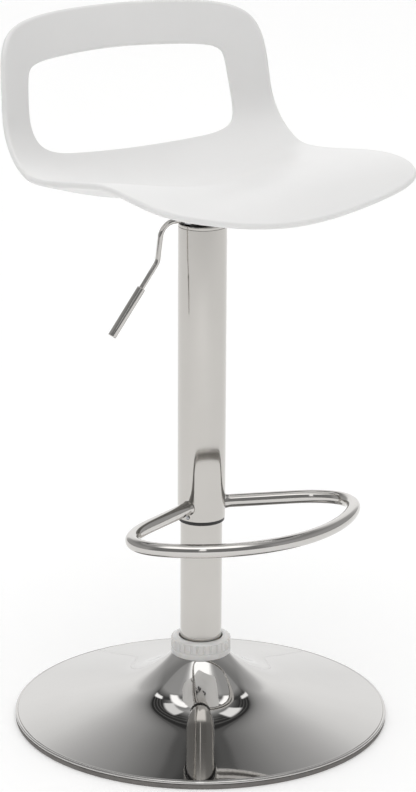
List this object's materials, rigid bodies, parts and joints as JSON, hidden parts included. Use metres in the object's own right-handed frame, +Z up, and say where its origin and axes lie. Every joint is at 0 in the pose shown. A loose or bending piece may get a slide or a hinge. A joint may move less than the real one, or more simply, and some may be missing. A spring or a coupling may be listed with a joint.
{
  "type": "adjustable swivel stool",
  "caption": "Height-adjustable swivel stool with a flared round base, telescoping column, footrest loop, release lever and a moulded seat with an open back.",
  "frame": {"origin": "on the floor under the column's axis, at the middle of the base's footprint", "axes": "+Z up along the column; -Y the way the sitter faces; +X to the sitter's left, so the lever is on the -X side"},
  "size_m": [0.45, 0.45, 0.838],
  "materials": {
    "base_chrome": "mirror-bright chromed steel",
    "column_chrome": "bright chromed tube",
    "zinc_steel": "bright zinc plate",
    "bearing_steel": "ground and polished",
    "black_steel": "black powder coat",
    "black_nylon": "as moulded",
    "rubber": "matt",
    "clear_acrylic": "clear, moulded facets",
    "white_shell": "satin white moulding"
  },
  "bodies": {
    "base": {"base_shell": "base_chrome", "base_edge_ring": "rubber", "base_socket": "black_steel", "base_brace": "black_steel", "crystal_collar": "clear_acrylic", "collar_seal": "rubber", "lower_column": "column_chrome", "column_foot": "zinc_steel", "guide_bush": "black_nylon", "bearing_race_lower": "bearing_steel"},
    "swivel_rod": {"piston_rod": "bearing_steel", "piston": "black_nylon", "rod_buffer": "rubber", "rod_clip": "zinc_steel", "bearing_race_upper": "bearing_steel", "bearing_cage": "black_nylon", "bearing_ball_1": "bearing_steel", "bearing_ball_2": "bearing_steel", "bearing_ball_3": "bearing_steel", "bearing_ball_4": "bearing_steel", "bearing_ball_5": "bearing_steel", "bearing_ball_6": "bearing_steel", "bearing_ball_7": "bearing_steel", "bearing_ball_8": "bearing_steel"},
    "seat_column": {"gas_cylinder": "black_steel", "cylinder_gland": "black_nylon", "upper_column": "column_chrome", "column_cap": "column_chrome", "lower_bush": "black_nylon", "bush_screw": "zinc_steel", "footrest_loop": "column_chrome", "lever_housing": "black_steel", "pivot_pin": "zinc_steel", "seat_plate": "black_steel", "seat_bolt_fl": "zinc_steel", "seat_bolt_fr": "zinc_steel", "seat_bolt_bl": "zinc_steel", "seat_bolt_br": "zinc_steel", "seat_washer_fl": "zinc_steel", "seat_washer_fr": "zinc_steel", "seat_washer_bl": "zinc_steel", "seat_washer_br": "zinc_steel", "seat_boss_fl": "white_shell", "seat_boss_fr": "white_shell", "seat_boss_bl": "white_shell", "seat_boss_br": "white_shell", "seat_shell": "white_shell"},
    "seat_lever": {"lever_rod": "column_chrome", "lever_sleeve": "column_chrome", "lever_rocker": "black_nylon"},
    "valve_button": {"release_button": "zinc_steel"}
  },
  "joints": [
    {"name": "seat_swivel", "type": "hinge", "parent": "base", "child": "swivel_rod", "pos_m": [0, 0, 0.024], "axis": [0, 0, 1], "continuous": true},
    {"name": "height_slide", "type": "slide", "parent": "swivel_rod", "child": "seat_column", "axis": [0, 0, 1], "range_m": [-0.135, 0.075]},
    {"name": "lever_lift", "type": "hinge", "parent": "seat_column", "child": "seat_lever", "pos_m": [-0.016, 0, 0.6207], "axis": [0, 1, 0], "range_deg": [0, 7], "stiffness_Nm_per_rad": 1.5, "springref_deg": -5.73},
    {"name": "valve_press", "type": "slide", "parent": "seat_column", "child": "valve_button", "axis": [0, 0, -1], "range_m": [0, 0.0025]}
  ],
  "couplings": [
    {"joint": "valve_press", "follows": "lever_lift", "m_per_rad": 0.02}
  ]
}
